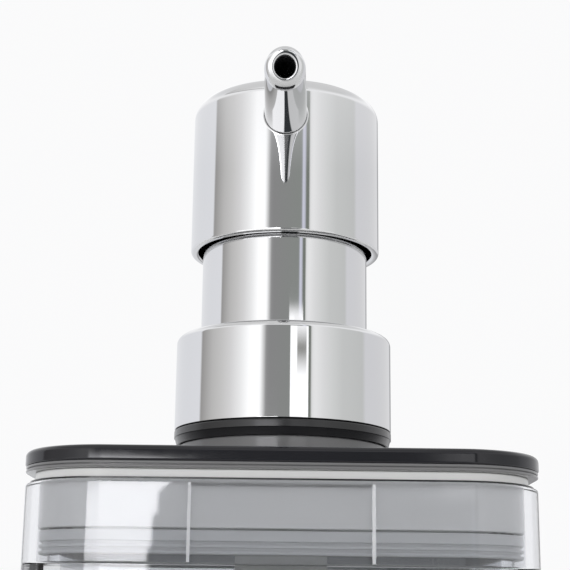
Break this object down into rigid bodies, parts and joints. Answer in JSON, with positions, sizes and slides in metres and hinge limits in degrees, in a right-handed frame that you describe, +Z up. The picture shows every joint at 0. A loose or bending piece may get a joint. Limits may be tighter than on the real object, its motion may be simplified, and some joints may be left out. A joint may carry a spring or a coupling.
{
  "type": "soap pump dispenser",
  "caption": "Free-standing soap dispenser: clear rectangular container, smoke lift-off lid, and a chromed press-down pump head with a short sloping spout.",
  "frame": {"origin": "middle of the underside of the base pad, on the pump's axis", "axes": "+Z up along the pump's axis, -Y towards the front, the way the spout points, +X to the right seen from the front"},
  "size_m": [0.0824, 0.0755, 0.1904],
  "materials": {
    "clear_plastic": "clear, lightly smoked, polished",
    "smoke_plastic": "dark smoke, polished",
    "clear_silicone": "translucent silicone",
    "black_rubber": "black rubber",
    "pad_rubber": "grey non-slip rubber",
    "chrome_plate": "mirror chrome plating",
    "white_plastic": "moulded white plastic",
    "natural_plastic": "natural translucent plastic",
    "seal_plastic": "soft sealing plastic",
    "stainless_steel": "bright stainless steel"
  },
  "bodies": {
    "container": {"container": "clear_plastic", "base_pad": "pad_rubber", "mouth_seal": "clear_silicone"},
    "lid": {"lid_skirt": "clear_plastic", "lid_liner": "white_plastic", "lid_plate": "smoke_plastic", "seat_ring": "black_rubber"},
    "pump_core": {"pump_gasket": "clear_silicone", "pump_housing": "natural_plastic", "dip_tube": "natural_plastic", "ball_cage": "natural_plastic", "return_spring": "stainless_steel", "stem_guide": "white_plastic", "stem_wiper": "seal_plastic", "retainer": "white_plastic", "neck_sleeve": "chrome_plate"},
    "closure": {"closure_nut": "white_plastic", "closure_shell": "chrome_plate"},
    "piston": {"piston_hub": "white_plastic", "piston_seal": "seal_plastic"},
    "head": {"stem": "natural_plastic", "actuator_core": "white_plastic", "head_shell": "chrome_plate", "spout": "chrome_plate"},
    "inlet_valve": {"inlet_ball": "stainless_steel"},
    "outlet_valve": {"outlet_ball": "stainless_steel"}
  },
  "joints": [
    {"name": "lid_lift", "type": "slide", "parent": "container", "child": "lid", "axis": [0, 0, 1], "range_m": [0, 0.13]},
    {"name": "closure_rise", "type": "slide", "parent": "lid", "child": "pump_core", "axis": [0, 0, 1], "range_m": [0, 0.0085]},
    {"name": "closure_turn", "type": "hinge", "parent": "pump_core", "child": "closure", "pos_m": [0, 0, 0.138], "axis": [0, 0, 1], "range_deg": [0, 720]},
    {"name": "pump_press", "type": "slide", "parent": "pump_core", "child": "piston", "axis": [0, 0, -1], "range_m": [0, 0.014], "stiffness_N_per_m": 350, "springref_m": -0.01, "deforming": ["return_spring"]},
    {"name": "head_swivel", "type": "hinge", "parent": "piston", "child": "head", "pos_m": [0, 0, 0.15], "axis": [0, 0, 1], "continuous": true},
    {"name": "inlet_ball_lift", "type": "slide", "parent": "pump_core", "child": "inlet_valve", "axis": [0, 0, 1], "range_m": [0, 0.0015]},
    {"name": "outlet_ball_lift", "type": "slide", "parent": "head", "child": "outlet_valve", "axis": [0, 0, 1], "range_m": [0, 0.001]}
  ],
  "couplings": [
    {"joint": "closure_rise", "follows": "closure_turn", "m_per_rad": 0.00067322}
  ]
}
